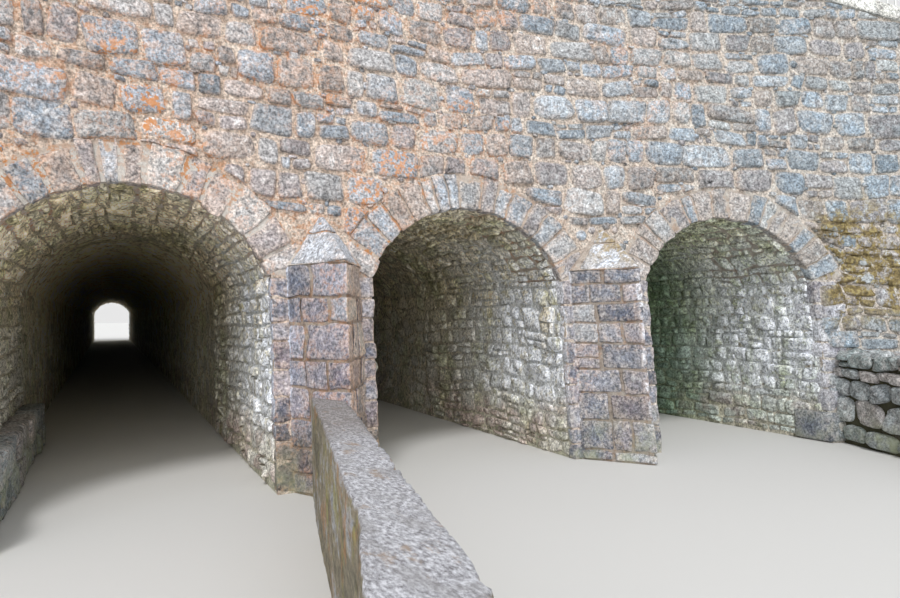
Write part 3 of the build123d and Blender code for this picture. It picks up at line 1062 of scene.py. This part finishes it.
# Upright bars of the railings
def railing_bars(side):
    radius = FACE_RADIUS + WALL_THICKNESS - RAIL_SETBACK
    end_angle = math.asin((WING_REACH - RAIL_END_MARGIN) / radius)
    posts = []
    for i in range(RAIL_BAYS + 1):
        angle = -end_angle + 2 * end_angle * i / RAIL_BAYS
        x = radius * math.sin(angle)
        y = mirrored(AXIS_Y + radius * math.cos(angle), side)
        posts.append(np.array([x, y, wall_top(x) + COPING_THICKNESS]))
    corners = []
    for start, end in zip(posts, posts[1:]):
        run = end - start
        length = np.linalg.norm(run[:2])
        along = run[:2] / length * BAR_SIZE / 2
        across = np.array([-along[1], along[0]])
        count = int((length - POST_SIZE) / BAR_SPACING)
        for i in range(count):
            foot = start + run * (i + 1) / (count + 1)
            quad = []
            for z in (LOWER_RAIL_TOP - 0.01, UPPER_RAIL_FOOT + 0.01):
                for a, b in ((-1, -1), (1, -1), (1, 1), (-1, 1)):
                    quad.append((*(foot[:2] + a * along + b * across), foot[2] + z))
            corners.append(quad)
    rng = np.random.default_rng(5)
    name = end_name(side) + "_railing_bars"
    return blocks(name, corners, rng, 5, white_paint, cuts=2, soften=0.2, rough=0.0)


# The wall between the track and the stream, worn along its edges
def divider():
    turn = math.radians(DIVIDER_ANGLE)
    start = face_point(DIVIDER_START_X, 0.0, 0.0, -1)
    forward = np.array([-math.sin(turn), -math.cos(turn)])
    leftward = np.array([-math.cos(turn), math.sin(turn)])
    steps = np.concatenate([np.linspace(0.12, DIVIDER_LENGTH - 0.022, 150), [DIVIDER_LENGTH - 0.004]])
    growth = np.clip((steps - (DIVIDER_LENGTH - DIVIDER_FLARE)) / DIVIDER_FLARE, 0, 1)
    width = DIVIDER_WIDTH + (DIVIDER_END_WIDTH - DIVIDER_WIDTH) * growth
    side_levels = np.linspace(0, DIVIDER_TOP - 0.02, 12)
    across = np.linspace(0.0, 1.0, 9)[1:-1]
    outline = [(0.0, z) for z in side_levels] + [(0.012, DIVIDER_TOP - 0.006), (0.03, DIVIDER_TOP)]
    outline += [(share, DIVIDER_TOP) for share in across]
    outline += [(0.97, DIVIDER_TOP), (0.988, DIVIDER_TOP - 0.006)]
    outline += [(1.0, z) for z in side_levels[::-1]]
    outline = np.array(outline)
    verts = np.empty((len(steps), len(outline), 3))
    verts[..., :2] = (
        start[:2]
        + forward * steps[:, None, None]
        + leftward * (outline[None, :, :1] * width[:, None, None])
    )
    verts[..., 2] = outline[None, :, 1]
    chip = noise(verts, 0.05, 71) * 0.6 + noise(verts, 0.02, 72) * 0.4
    near_edge = (outline[:, 1] > DIVIDER_TOP - 0.03) & ((outline[:, 0] < 0.05) | (outline[:, 0] > 0.95))
    inward = (0.5 - outline[:, 0]) * 2
    bite = np.clip(chip + 0.1, 0, 1) * near_edge * np.where(outline[:, 0] < 0.5, 0.022, 0.009)
    verts[..., :2] += leftward * (bite * inward)[..., None]
    verts[..., 2] -= bite * 0.5 * (outline[:, 1] > 0.1)
    swell = noise(verts, 0.35, 73) * 0.004 + noise(verts, 0.07, 74) * 0.0025
    verts[..., :2] += leftward * (swell * -inward)[..., None]
    verts[..., 2] += np.where(outline[:, 1] > DIVIDER_TOP - 0.01, noise(verts, 0.2, 75) * 0.003, 0)
    rows, columns = len(steps), len(outline)
    i, j = np.meshgrid(np.arange(rows - 1), np.arange(columns - 1), indexing="ij")
    a = (i * columns + j).ravel()
    quads = np.stack([a, a + columns, a + columns + 1, a + 1], axis=-1)
    end = verts[-1].mean(axis=0)
    end[2] = DIVIDER_TOP / 2
    points = np.concatenate([verts.reshape(-1, 3), [end]])
    last = (rows - 1) * columns + np.arange(columns)
    cap = np.stack([last, np.full(columns, len(points) - 1), np.roll(last, -1)], axis=-1)
    piece = make_piece("divider", points, [quads, cap], divider_concrete)
    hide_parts("divider_wall", "divider_coping")


# Boulders laid dry, over the sides, the end and the top
def training_wall(seed):
    rng = np.random.default_rng(seed)
    angle = math.radians(TRAINING_WALL_ANGLE)
    start_x = ARCHES["right"][0] + ARCHES["right"][1] / 2 + 0.09
    start = face_point(start_x, 0.0, 0.0, -1)[:2]
    forward = np.array([-math.sin(angle), -math.cos(angle)])
    rightward = np.array([math.cos(angle), -math.sin(angle)])
    length, thickness, height = TRAINING_WALL_SIZE

    def plan(along, across, z):
        at = start + along[..., None] * forward + across[..., None] * rightward
        return np.concatenate([at, np.maximum(z, 0.001)[..., None]], axis=-1)

    def round_the_sides(u, v, out):
        """u runs out along the left side, over the end and back along the right side."""
        far = length + thickness
        along = np.where(u < length, u, np.where(u < far, length + out, far + length - u))
        across = np.where(u < length, -out, np.where(u < far, u - length, thickness + out))
        return plan(along, across, v)

    def over_the_top(u, v, out):
        return plan(u, v, height + out)

    sides = rubble_cells(
        -0.1, 2 * length + thickness, 0.0, height + 0.02, rng, (0.10, 0.17), (0.15, 0.30), 0.2, 0.08
    )
    top = rubble_cells(
        -0.1, length + 0.03, -0.03, thickness + 0.03, rng, (0.12, 0.18), (0.14, 0.30), 0.1, 0.05
    )
    for name, cells, place, relief in (
        ("training_wall_side_stones", sides, round_the_sides, (0.030, 0.055)),
        ("training_wall_top_stones", top, over_the_top, (0.020, 0.040)),
    ):
        outlines = stone_outlines(cells, rng, seed, 20, (0.002, 0.008), (2.6, 5.0), pulled=0.12)
        outlines = drop_slivers(outlines)
        stones(name, outlines, place, relief, rng, seed, boulder, crag=1.2)


def kerb(seed):
    rng = np.random.default_rng(seed)
    low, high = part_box("track_kerb")
    corners = []
    y = low.y
    while y < high.y - 0.01:
        end = y + rng.uniform(0.2, 0.42)
        if high.y - end < 0.15:
            end = high.y
        for z0, z1 in ((0.0, rng.uniform(0.14, 0.2)), (0.17, high.z + rng.uniform(0.010, 0.022))):
            out = rng.uniform(0.014, 0.034)
            corners.append(box_corners(low.x, high.x + out, y + 0.004, end - 0.004, z0, z1))
        y = end
    name = "kerb_stones"
    return blocks(name, corners, rng, seed, boulder, cuts=5, soften=0.25, rough=0.014)


BLOCK_STONES = [
    (0.0, (0.31, 0.31, 0.36)),
    (0.16, (0.15, 0.16, 0.21)),
    (0.32, (0.43, 0.41, 0.45)),
    (0.48, (0.22, 0.23, 0.28)),
    (0.64, (0.39, 0.35, 0.38)),
    (0.80, (0.28, 0.24, 0.27)),
    (0.90, (0.49, 0.48, 0.50)),
]
CAP_STONES = [(0.0, (0.67, 0.71, 0.79)), (0.5, (0.77, 0.81, 0.89))]
COPING_STONES = [(0.0, (0.80, 0.81, 0.77)), (0.35, (0.84, 0.85, 0.82)), (0.7, (0.76, 0.76, 0.71))]
BOULDERS = [
    (0.0, (0.32, 0.36, 0.38)),
    (0.25, (0.42, 0.46, 0.47)),
    (0.5, (0.40, 0.38, 0.37)),
    (0.75, (0.27, 0.32, 0.32)),
]

pier_stone = stone_finish(
    "pier_stone", BLOCK_STONES, lichen=0.40, foot=0.55, crust=0.50, smeared=0.6, clouds=0.12, lime=0.75
)
cap_stone = stone_finish(
    "cap_stone", CAP_STONES, lichen=0.12, smeared=0.4, clouds=0.08, cooler=0.0, tufts=0.9
)
coping_stone = stone_finish(
    "coping_stone", COPING_STONES, lichen=0.1, crust=0.3, smeared=0.4, clouds=0.2, cooler=0.0
)
boulder = stone_finish(
    "boulder", BOULDERS, lichen=0.2, foot=0.8, crust=0.5, smeared=0.0, clouds=0.3, cooler=0.0
)


def tunnel_colour(f, tone, shade):
    """Stone of the vaults: ochre and olive, greener in patches, greyer low down; dark specks of painted
    shade, and painted light on the crown of the left tunnel.
    """
    colour = f.ramp(tone, TUNNEL_STONES, steps=True)
    colour = f.mix(f.span(f.z, 1.3, 0.6, 0.0, 0.7), colour, (0.58, 0.58, 0.56))
    reddish = f.times(f.span(f.z, 0.55, 0.15), f.span(f.noise(3.0, 3.0), 0.40, 0.56))
    colour = f.mix(f.times(reddish, 0.75), colour, (0.40, 0.27, 0.23))
    green = f.times(f.span(f.noise(2.6, 4.0, 0.6), 0.46, 0.64), 0.55)
    colour = f.mix(green, colour, (0.42, 0.44, 0.21))
    # pale crusts, and dark specks of painted shade for the shadows in pits
    cloud = f.noise(21.0, 7.0, 0.72)
    colour = f.mix(f.span(cloud, 0.52, 0.63, 0.0, 0.6), colour, (0.88, 0.84, 0.74))
    colour = f.mix(f.span(cloud, 0.475, 0.38, 0.0, 0.65), colour, (0.18, 0.17, 0.12))
    colour = f.mix(f.span(f.z, 1.0, 1.5), colour, grained(f, colour, 20.0, 0.45, 1.55))
    colour = f.mix(f.span(f.x, 1.2, 1.5), colour, (0.89, 0.99, 1.03), "MULTIPLY")
    # painted light: the crown of the left tunnel made lighter, for the light that falls on it from
    # below
    painted_crown_light = f.times(f.span(f.x, -1.1, -1.4), f.span(f.z, 1.0, 1.5))
    colour = f.mix(painted_crown_light, colour, (1.24, 1.19, 1.17), "MULTIPLY")
    return shaded(f, colour, shade, 0.5, 0.78)


def deepened(f, colour):
    """Darker and greener in the depth of the right tunnel; paler and greyer in that of the left one,
    which is painted light.
    """
    behind = behind_face(f)
    right = f.times(f.span(f.x, 1.2, 1.5), f.span(behind, 0.8, 1.8))
    colour = f.mix(right, colour, (0.48, 0.62, 0.51), "MULTIPLY")
    # painted light: the depth of the left tunnel made paler and greyer
    left = f.times(f.span(f.x, -0.9, -1.1), f.span(behind, 2.0, 4.5))
    return f.mix(left, colour, (1.45, 1.50, 1.55), "MULTIPLY")


def tunnel_finish():
    f = Finish("tunnel_stone")
    tone, shade, bloom, centre = f.marks()
    colour = tunnel_colour(f, tone, shade)
    colour = f.mix(f.times(f.math("SUBTRACT", 1.0, centre), 0.35), colour, (0.46, 0.42, 0.32))
    runs = f.noise(6.0, 7.0, 0.70, at=f.stretched(1.0, 1.0, 0.25))
    lime = f.times(bloom, f.span(runs, 0.36, 0.52))
    lime = f.times(lime, f.span(f.noise(13.0, 8.0, 0.76), 0.39, 0.49))
    low = f.span(f.z, 0.18, 0.50, 0.12, 1.0)
    drips = f.noise(26.0, 6.0, 0.75, at=f.stretched(1.0, 1.0, 0.45))
    streaks = f.ramp(drips, [(0.36, (0.42, 0.44, 0.48)), (0.48, (0.88, 0.91, 0.97))])
    colour = f.mix(f.times(lime, low, 0.95), colour, streaks)
    colour = grained(f, deepened(f, colour), 50.0, 0.36, 1.62)
    relief = f.layers(f.noise(18.0, 7.0, 0.7), f.noise(70.0, 3.0, 0.6), 0.75)
    return f.finish(colour, 0.88, relief, 1.0, 0.022)


tunnel_stone = tunnel_finish()


def stone_pattern(f):
    """Tone and shade of each stone, and 1 on the stones or 0 in the joints."""
    warp = f.node("TexNoise", {"Vector": f.place, "Scale": 5.0, "Detail": 4.0}).outputs["Color"]
    at = f.node("VectorMath", {0: f.stretched(7.0, 4.0, 7.6), 1: warp}, operation="ADD").outputs[0]
    inputs = {"Vector": at, "Scale": 1.0, "Randomness": 0.8}
    cell = f.node("TexVoronoi", inputs)
    edge = f.node("TexVoronoi", inputs, feature="DISTANCE_TO_EDGE")
    tone, shade, _ = f.node("SeparateColor", {"Color": cell.outputs["Color"]}).outputs
    return tone, shade, f.span(edge.outputs["Distance"], 0.035, 0.10)


def masonry_end(f, colour, stone, lichen, moss):
    """Grain, weathering and relief over stones and joints."""
    colour = weathered(f, grained(f, colour, 60.0, 0.45, 1.55), 0.7, lichen, moss, 0.5)
    relief = f.math("MULTIPLY_ADD", stone, 1.0, f.times(f.noise(24.0, 7.0, 0.74), 0.9))
    return f.finish(colour, 0.93, relief, 0.9, 0.018)


def masonry_finish(name):
    """Stones as colour and relief, for walls with no modelled stones."""
    f = Finish(name)
    tone, shade, stone = stone_pattern(f)
    colour = f.ramp(tone, SIDE_STONES, steps=True)
    # pale crusts, and dark specks of painted shade for the shadows in pits
    cloud = f.noise(24.0, 7.0, 0.7)
    colour = f.mix(f.span(cloud, 0.52, 0.66, 0.0, 0.5), colour, PALE_CRUST)
    colour = f.mix(f.span(cloud, 0.47, 0.34, 0.0, 0.6), colour, (0.17, 0.16, 0.16))
    colour = shaded(f, colour, shade, 0.45, 0.78)
    # only mortar on the faces, between the modelled stones
    stone = f.times(stone, f.span(behind_face(f), 0.02, 0.06))
    return masonry_end(f, f.mix(stone, mortar_colour(f), colour), stone, 0.6, 1.0)


def tunnel_masonry_finish():
    """The same for the tunnels, where modelled stones lie over the mouths."""
    f = Finish("tunnel_masonry")
    tone, shade, stone = stone_pattern(f)
    behind = behind_face(f)
    stone = f.times(stone, f.span(behind, FRONT_DEPTH - 0.35, FRONT_DEPTH - 0.05))
    shadow = tuple(0.42 * c for c in TUNNEL_MORTAR)
    joints = f.mix(f.span(f.noise(22.0, 8.0, 0.76), 0.40, 0.56), shadow, TUNNEL_MORTAR)
    # lime on the right-hand walls near the mouths
    lime = f.times(f.span(f.facing(), -0.3, -0.8), f.span(behind, 2.4, 0.8))
    lime = f.times(lime, f.span(f.noise(11.0, 8.0, 0.76), 0.36, 0.48))
    joints = f.mix(f.times(lime, f.span(f.z, 0.15, 0.5, 0.2, 0.9)), joints, (0.74, 0.77, 0.80))
    colour = deepened(f, f.mix(stone, joints, tunnel_colour(f, tone, shade)))
    beyond_left = f.span(f.x, LEFT_SIDE + 0.02, LEFT_SIDE + 0.01)
    beyond_right = f.span(f.x, RIGHT_SIDE - 0.02, RIGHT_SIDE - 0.01)
    outside = f.math("MAXIMUM", beyond_left, beyond_right)
    outside = f.math("MAXIMUM", outside, f.span(behind, 0.05, 0.02))
    colour = f.mix(outside, colour, mortar_colour(f))
    return masonry_end(f, colour, stone, 0.0, 0.0)


GRITTY_TOP = [(0.36, (0.20, 0.19, 0.20)), (0.5, (0.43, 0.43, 0.46)), (0.62, (0.70, 0.70, 0.74))]
GROWN_FLANK = [
    (0.34, (0.12, 0.11, 0.08)),
    (0.45, (0.22, 0.20, 0.15)),
    (0.52, (0.30, 0.26, 0.19)),
    (0.60, (0.40, 0.41, 0.43)),
    (0.70, (0.48, 0.49, 0.52)),
]
FLANK_GRAIN = [(0.3, (0.40, 0.40, 0.40)), (0.5, (1.0, 1.0, 1.0)), (0.7, (1.45, 1.45, 1.45))]


def divider_finish():
    f = Finish("divider_concrete")
    drawn = f.stretched(1.0, 0.4, 1.0)
    top = f.ramp(f.noise(110.0, 4.0, 0.75, at=drawn), GRITTY_TOP)
    dark = f.span(f.noise(12.0, 7.0, 0.7, at=drawn), 0.54, 0.40, 0.0, 0.5)
    top = f.mix(dark, top, (0.30, 0.29, 0.29))
    brown = f.span(f.noise(14.0, 7.0, 0.74, at=drawn), 0.55, 0.66, 0.0, 0.7)
    top = f.mix(brown, top, (0.36, 0.27, 0.20))
    # sides: bare grey, dark growth, and runs of orange and yellow-green
    runs = f.noise(7.0, 8.0, 0.75, at=f.stretched(1.0, 0.3, 0.9))
    flank = f.ramp(runs, GROWN_FLANK)
    orange = f.span(f.noise(6.0, 7.0, 0.72, at=f.stretched(1.0, 0.45, 0.6)), 0.54, 0.64, 0.0, 0.7)
    flank = f.mix(orange, flank, (0.42, 0.23, 0.11))
    green = f.span(f.noise(7.0, 7.0, 0.74, at=f.stretched(1.0, 0.5, 0.5)), 0.54, 0.62, 0.0, 0.60)
    flank = f.mix(green, flank, (0.33, 0.31, 0.10))
    grain = f.ramp(f.noise(38.0, 7.0, 0.78, at=drawn), FLANK_GRAIN)
    flank = f.mix(1.0, flank, grain, "MULTIPLY")
    top = f.mix(f.span(f.y, -17.7, -17.0, 0.0, 1.0), top, (0.70, 0.66, 0.62), "MULTIPLY")
    level = f.math("ADD", f.z, f.times(f.noise(18.0, 4.0, 0.6), 0.02))
    colour = f.mix(f.span(level, DIVIDER_TOP - 0.008, DIVIDER_TOP + 0.006), flank, top)
    relief = f.layers(f.noise(100.0, 5.0, 0.75), f.noise(250.0, 3.0, 0.6), 0.6)
    return f.finish(colour, 0.92, relief, 0.5, 0.003)


def paint_finish():
    f = Finish("white_paint")
    wear = f.span(f.noise(16.0, 7.0, 0.75), 0.60, 0.70)
    colour = f.mix(f.times(wear, 0.7), (0.82, 0.83, 0.81), (0.42, 0.27, 0.17))
    colour = f.mix(f.times(f.span(f.noise(4.0, 5.0), 0.45, 0.7), 0.35), colour, (0.60, 0.63, 0.55))
    return f.finish(colour, f.math("MULTIPLY_ADD", wear, 0.4, 0.42), f.noise(60.0, 4.0), 0.15, 0.002)


def earth_finish(name, dark, light, stone):
    f = Finish(name)
    colour = f.ramp(f.noise(6.0, 9.0, 0.72), [(0.32, dark), (0.62, light)])
    pebble = f.node("TexVoronoi", {"Vector": f.place, "Scale": 38.0, "Randomness": 1.0})
    gravelly = f.span(f.noise(3.0, 3.0), 0.42, 0.6)
    shown = f.times(f.span(pebble.outputs["Distance"], 0.42, 0.30), gravelly)
    colour = f.mix(shown, colour, stone)
    relief = f.math("MULTIPLY_ADD", shown, 0.6, f.noise(20.0, 8.0, 0.7))
    return f.finish(colour, 0.95, relief, 0.7, 0.012)


divider_concrete = divider_finish()
white_paint = paint_finish()
wall_masonry = masonry_finish("wall_masonry")
side_masonry = masonry_finish("side_masonry")
tunnel_masonry = tunnel_masonry_finish()
clay = earth_finish("puddled_clay", (0.20, 0.16, 0.11), (0.36, 0.30, 0.22), (0.42, 0.40, 0.36))
# dark fill behind the boulders and the kerb stones: earth, painted near black as painted shade in the
# gaps between the stones
gap_shade_earth = earth_finish("earth_with_painted_gap_shade", (0.03, 0.03, 0.02), (0.09, 0.085, 0.05), (0.10, 0.095, 0.08))
bank_earth = earth_finish("bank_earth", (0.22, 0.18, 0.13), (0.40, 0.34, 0.25), (0.50, 0.47, 0.42))

NODE_FINISHES = (
    (("spandrel_wall", "wing_wall"), wall_masonry),
    (("arch_ring", "cutwater_caps"), mortar),
    (("cutwater",), pier_mortar),
    (("side_wall", "vault_backing", "canal_wall", "canal_foundation"), side_masonry),
    (("_vault", "_pier", "_abutment"), tunnel_masonry),
    (("coping", "copings"), coping_stone),
    (("railing",), white_paint),
    (("canal_bed",), clay),
    (("bank",), bank_earth),
    (("training_wall", "track_kerb"), gap_shade_earth),
    (("divider_wall", "divider_coping"), divider_concrete),
)
for node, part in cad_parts.items():
    for endings, finish in NODE_FINISHES:
        if node.endswith(endings):
            part.data.materials.clear()
            part.data.materials.append(finish)


def side_rubble(hand, seed):
    """Larger stones along the straight sides, above and below the canal."""
    rng = np.random.default_rng(seed)
    plane = LEFT_SIDE if hand < 0 else RIGHT_SIDE
    cells = rubble_cells(
        -SIDE_REACH, SIDE_REACH, 0.0, SIDE_TOP, rng, (0.16, 0.25), (0.22, 0.46), 0.14, 0.05
    )
    outlines = stone_outlines(cells, rng, seed, 8, (0.006, 0.018), (2.6, 6.0), jitter=0.02)
    outlines[..., 1] = np.clip(outlines[..., 1], 0.004, SIDE_TOP - 0.01)
    middle = outlines.mean(axis=1)
    at_canal = (np.abs(middle[:, 0]) < CANAL_HALF_WIDTH) & (outlines[..., 1].max(axis=1) > CANAL_FOOT)
    outlines = drop_slivers(outlines[~at_canal])

    def place(u, v, out):
        return np.stack(np.broadcast_arrays(plane + hand * out, MIDDLE_Y + u, v), axis=-1)

    name = ("left" if hand < 0 else "right") + "_side_stones"
    stones(name, outlines, place, (0.010, 0.024), rng, seed, face_stone, bands=1)


side_rubble(-1, 130)
side_rubble(1, 131)
tunnel_rubble(-1, FRONT_DEPTH, 15, tunnel_stone, 51)
tunnel_rubble(1, REAR_DEPTH, 12, tunnel_stone, 61)
for side, seed in ((-1, 70), (1, 90)):
    corner_blocks(side, seed)
    cutwater_blocks(side, seed + 1)
    cap_stones(side, seed + 2)
    coping_stones(side, seed + 3)
    railing_bars(side)
canal_coping_stones(110)
divider()
training_wall(120)
kerb(121)


# Floor, light and camera. The camera's yaw, pitch and roll were fitted to the photograph.
CAMERA_TURN = (24.75, 1.177, -0.66)
CAMERA_PLACE = (-2.252, MIDDLE_Y - 21.206, 1.030)
FOCAL_PIXELS = 740
PHOTO_WIDTH = 900


def make_stage():
    mesh = bpy.data.meshes.new("floor")
    reach = 150.0
    corners = box_corners(-reach, reach, -reach, reach, -0.001, 0.0)[:4]
    mesh.from_pydata(corners, [], [(0, 1, 2, 3)])
    floor = bpy.data.objects.new("floor", mesh)
    bpy.context.scene.collection.objects.link(floor)
    f = Finish("floor_paint")
    mesh.materials.append(f.finish((0.72, 0.71, 0.69), 0.9))


def make_light():
    world = bpy.data.worlds.new("studio")
    bpy.context.scene.world = world
    world.use_nodes = True
    nodes, links = world.node_tree.nodes, world.node_tree.links
    nodes.clear()
    light = nodes.new("ShaderNodeBackground")
    light.inputs["Color"].default_value = (0.92, 0.96, 1.0, 1.0)
    light.inputs["Strength"].default_value = 0.62
    shown = nodes.new("ShaderNodeBackground")
    shown.inputs["Strength"].default_value = 1.0
    path = nodes.new("ShaderNodeLightPath")
    either = nodes.new("ShaderNodeMath")
    either.operation = "MAXIMUM"
    links.new(path.outputs["Is Camera Ray"], either.inputs[0])
    links.new(path.outputs["Is Glossy Ray"], either.inputs[1])
    blend = nodes.new("ShaderNodeMixShader")
    links.new(either.outputs[0], blend.inputs[0])
    links.new(light.outputs[0], blend.inputs[1])
    links.new(shown.outputs[0], blend.inputs[2])
    output = nodes.new("ShaderNodeOutputWorld")
    links.new(blend.outputs[0], output.inputs["Surface"])
    for name, direction, strength, angle in (
        ("key", (-0.42, -0.75, 1.0), 1.5, 14),
        ("low_fill", (-0.42, -1.0, 0.28), 1.18, 50),
        ("back_fill", (0.7, 0.9, 0.8), 0.9, 60),
    ):
        lamp = bpy.data.lights.new(name, "SUN")
        lamp.energy = strength
        lamp.angle = math.radians(angle)
        sun = bpy.data.objects.new(name, lamp)
        sun.rotation_euler = Vector(direction).to_track_quat("Z", "Y").to_euler()
        bpy.context.scene.collection.objects.link(sun)


def make_camera():
    yaw, pitch, roll = (math.radians(angle) for angle in CAMERA_TURN)
    level = Vector((math.cos(yaw), -math.sin(yaw), 0))
    forward = Vector((math.sin(yaw), math.cos(yaw), 0)) * math.cos(pitch)
    forward.z = math.sin(pitch)
    upward = level.cross(forward)
    right = math.cos(roll) * level + math.sin(roll) * upward
    up = math.cos(roll) * upward - math.sin(roll) * level
    data = bpy.data.cameras.new("camera")
    data.sensor_width = 36
    data.lens = FOCAL_PIXELS / PHOTO_WIDTH * data.sensor_width
    data.clip_end = 500
    camera = bpy.data.objects.new("camera", data)
    place = Vector(CAMERA_PLACE)
    turn = Matrix((right, up, -forward)).transposed().to_4x4()
    camera.matrix_world = Matrix.Translation(place) @ turn
    bpy.context.scene.collection.objects.link(camera)
    bpy.context.scene.camera = camera


make_stage()
make_light()
make_camera()
bpy.context.scene.view_settings.view_transform = "Standard"
